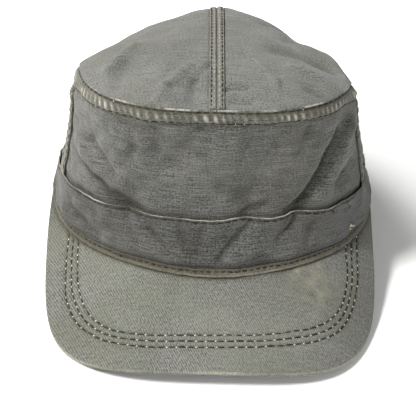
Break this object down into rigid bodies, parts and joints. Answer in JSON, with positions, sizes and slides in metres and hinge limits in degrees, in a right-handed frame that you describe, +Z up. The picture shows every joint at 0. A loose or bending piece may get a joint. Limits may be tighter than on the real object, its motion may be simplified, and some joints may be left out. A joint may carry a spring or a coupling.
{
  "type": "patrol cap",
  "caption": "Soft cotton patrol cap: panelled crown with a raised top and folded rim, a sewn band and a curved, stitched peak.",
  "frame": {"origin": "middle of the cap's box, on the surface that it rests on", "axes": "+Z up from that surface, -Y toward the tip of the peak, +X to the right of someone who faces the peak"},
  "size_m": [0.1744, 0.2482, 0.1159],
  "materials": {
    "top_cotton": "washed grey-olive plain weave",
    "wall_cotton": "washed grey-olive slubby weave",
    "seam_cotton": "worn, puckered folds, paler at the edges",
    "hem_cotton": "worn tan folded edge",
    "peak_cotton": "washed olive twill with worn edges"
  },
  "bodies": {
    "root": {"crown_top_left": "top_cotton", "crown_top_right": "top_cotton", "centre_seam": "seam_cotton", "wall_front": "wall_cotton", "wall_back": "wall_cotton", "rim_seam": "seam_cotton", "side_seam_left": "seam_cotton", "side_seam_right": "seam_cotton", "band": "wall_cotton", "band_hem": "hem_cotton", "peak_top": "peak_cotton", "peak_underside": "peak_cotton"}
  },
  "joints": []
}
